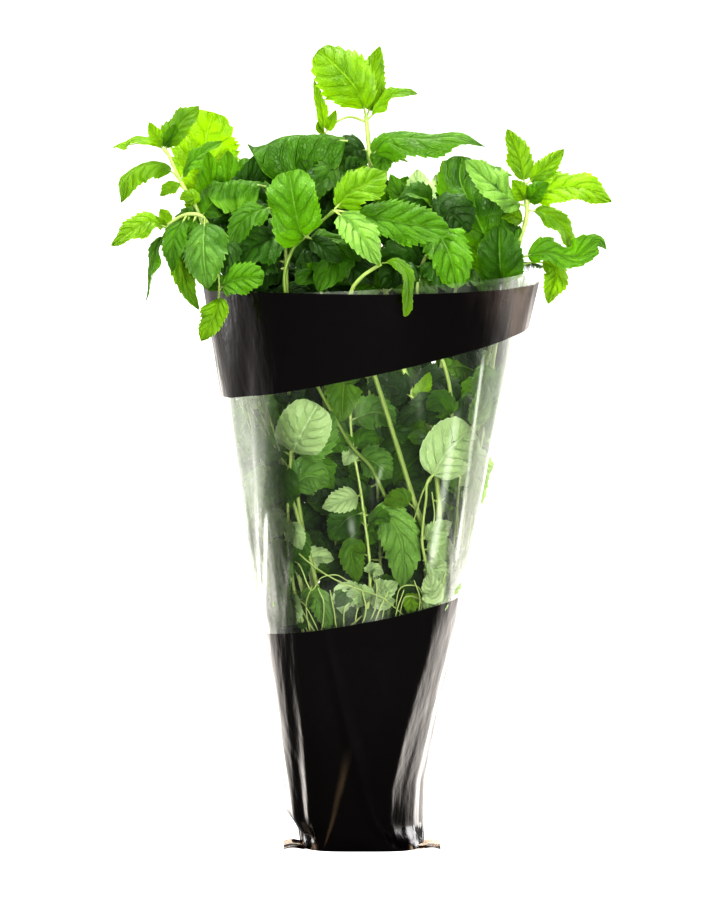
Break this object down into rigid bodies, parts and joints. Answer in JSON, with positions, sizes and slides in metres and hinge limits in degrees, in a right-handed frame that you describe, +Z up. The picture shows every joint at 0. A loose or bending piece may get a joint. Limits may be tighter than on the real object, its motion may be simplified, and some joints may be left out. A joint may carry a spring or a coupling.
{
  "type": "potted mint in a clear sleeve",
  "caption": "Leafy mint plant with square stems and opposite leaves, grown in a small pot and sold in a tapered clear film sleeve with dark bands, standing on its flat foot.",
  "frame": {"origin": "on the surface that the sleeve stands on, under the middle of the pot", "axes": "+Z up, +X to the right and -Y towards the viewer of the picture"},
  "size_m": [0.2584, 0.1891, 0.4218],
  "materials": {
    "clear_film": "clear, glossy",
    "fibre_pot": "matte pressed fibre",
    "growing_medium": "matte, moist",
    "stem": "satin",
    "leaf_bright": "satin, fresh green",
    "leaf_mid": "satin, green",
    "leaf_deep": "satin, dark green",
    "leaf_pale": "satin, pale green"
  },
  "bodies": {
    "root": {"sleeve": "clear_film", "pot": "fibre_pot", "growing_medium": "growing_medium", "top_sprig_stem": "stem", "centre_sprig_stem": "stem", "left_centre_sprig_stem": "stem", "left_sprig_stem": "stem", "left_front_sprig_stem": "stem", "left_rear_sprig_stem": "stem", "front_sprig_stem": "stem", "arching_stem": "stem", "rear_right_sprig_stem": "stem", "right_sprig_stem": "stem", "right_low_sprig_stem": "stem", "window_left_sprig": "stem", "window_right_sprig": "stem", "window_middle_sprig": "stem", "window_deep_sprig": "stem", "back_left_sprig": "stem", "back_middle_sprig": "stem", "back_right_sprig": "stem", "top_leaf_broad": "leaf_bright", "top_leaf_pointed": "leaf_bright", "top_leaf_small": "leaf_bright", "top_leaf_long": "leaf_bright", "front_leaf_round": "leaf_bright", "front_leaf_lit": "leaf_bright", "rim_leaf_hanging": "leaf_bright", "right_sprig_leaf_upright": "leaf_bright", "right_sprig_leaf_small": "leaf_bright", "right_sprig_leaf_long": "leaf_bright", "right_sprig_leaf_curved": "leaf_bright", "right_rim_leaf_hanging": "leaf_bright", "left_leaf_upright": "leaf_bright", "left_leaf_level": "leaf_bright", "left_leaf_arching": "leaf_bright", "left_leaf_backlit": "leaf_bright", "left_front_leaf_arching": "leaf_bright", "left_rim_leaf_hanging": "leaf_bright", "crown_leaf_draped": "leaf_mid", "left_centre_leaf_drooping": "leaf_mid", "left_centre_leaf_rimmed": "leaf_mid", "centre_leaf_low": "leaf_mid", "front_leaf_long": "leaf_mid", "front_leaf_small": "leaf_mid", "rim_leaf_broad": "leaf_mid", "right_leaf_great": "leaf_mid", "right_leaf_round": "leaf_mid", "right_leaf_cool": "leaf_mid", "right_sprig_leaf_wavy": "leaf_mid", "left_leaf_rising": "leaf_mid", "left_front_leaf_curled": "leaf_mid", "left_front_leaf_narrow": "leaf_mid", "left_front_leaf_broad": "leaf_mid", "left_front_leaf_behind": "leaf_mid", "left_rim_leaf_rounded": "leaf_mid", "top_leaf_shaded": "leaf_deep", "crown_leaf_deep": "leaf_deep", "left_centre_leaf_deep": "leaf_deep", "front_leaf_veined": "leaf_pale"}
  },
  "joints": []
}
